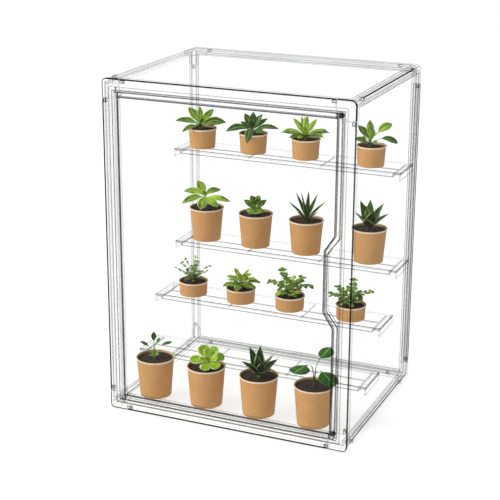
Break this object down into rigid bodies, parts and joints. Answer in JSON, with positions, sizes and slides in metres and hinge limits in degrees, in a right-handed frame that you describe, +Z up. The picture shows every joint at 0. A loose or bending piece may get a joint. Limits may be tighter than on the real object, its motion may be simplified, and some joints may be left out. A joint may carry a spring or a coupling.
{
  "type": "mini greenhouse",
  "caption": "Clear cabinet-shaped mini greenhouse with a magnet-held swing door, a finger recess, stepped sliding shelves and small plants in brown paper cups.",
  "frame": {"origin": "centre of the base, at the height of the surface it stands on", "axes": "+Z up along the posts, +Y from the door to the back, +X to the right seen from the door"},
  "size_m": [0.45, 0.35, 0.6],
  "materials": {
    "clear_frame": "gloss",
    "clear_panel": "gloss",
    "clear_shelf": "gloss",
    "magnet": "gloss",
    "pin": "satin",
    "kraft_paper": "matte",
    "soil": "matte",
    "leaf_dark": "satin",
    "leaf_mid": "satin",
    "leaf_light": "satin"
  },
  "bodies": {
    "case": {"floor_panel": "clear_panel", "top_panel": "clear_panel", "back_panel": "clear_panel", "left_panel": "clear_panel", "right_panel": "clear_panel", "front_left_post": "clear_frame", "front_right_post": "clear_frame", "back_left_post": "clear_frame", "back_right_post": "clear_frame", "front_top_rail": "clear_frame", "front_bottom_rail": "clear_frame", "back_top_rail": "clear_frame", "back_bottom_rail": "clear_frame", "left_top_rail": "clear_frame", "left_bottom_rail": "clear_frame", "right_top_rail": "clear_frame", "right_bottom_rail": "clear_frame", "front_corner_connectors": "clear_frame", "back_corner_connectors": "clear_frame", "left_shelf_ledges": "clear_shelf", "right_shelf_ledges": "clear_shelf", "frame_magnets": "magnet", "floor_cups": "kraft_paper", "floor_soil": "soil", "olive_sprig": "leaf_dark", "jade_rosette": "leaf_light", "dark_haworthia": "leaf_dark", "coin_leaf_plant": "leaf_dark"},
    "door": {"door_hinge_stile": "clear_frame", "door_handle_stile": "clear_frame", "door_top_rail": "clear_frame", "door_bottom_rail": "clear_frame", "door_panel": "clear_panel", "door_hinge_pins": "pin", "door_magnets": "magnet"},
    "shelf_1_body": {"shelf_1": "clear_shelf", "shelf_1_cups": "kraft_paper", "shelf_1_soil": "soil", "oblong_rosette": "leaf_mid", "draping_rosette": "leaf_dark", "pale_rosette": "leaf_light", "tall_leaf_plant": "leaf_mid"},
    "shelf_2_body": {"shelf_2": "clear_shelf", "shelf_2_cups": "kraft_paper", "shelf_2_soil": "soil", "whorled_rosette": "leaf_mid", "small_succulent": "leaf_mid", "aloe": "leaf_dark", "broad_agave": "leaf_dark"},
    "shelf_3_body": {"shelf_3": "clear_shelf", "shelf_3_cups": "kraft_paper", "shelf_3_soil": "soil", "wispy_thyme": "leaf_mid", "frilly_rosette": "leaf_light", "bushy_basil": "leaf_mid", "bushy_mint": "leaf_mid"},
    "shelf_4_body": {"shelf_4": "clear_shelf"}
  },
  "joints": [
    {"name": "door_swing", "type": "hinge", "parent": "case", "child": "door", "pos_m": [-0.199, -0.1705, 0.3], "axis": [0, 0, -1], "range_deg": [0, 105]},
    {"name": "shelf_1_slide", "type": "slide", "parent": "case", "child": "shelf_1_body", "axis": [0, -1, 0], "range_m": [0, 0.04]},
    {"name": "shelf_2_slide", "type": "slide", "parent": "case", "child": "shelf_2_body", "axis": [0, -1, 0], "range_m": [0, 0.04]},
    {"name": "shelf_3_slide", "type": "slide", "parent": "case", "child": "shelf_3_body", "axis": [0, -1, 0], "range_m": [0, 0.04]},
    {"name": "shelf_4_slide", "type": "slide", "parent": "case", "child": "shelf_4_body", "axis": [0, 1, 0], "range_m": [0, 0.03]}
  ]
}
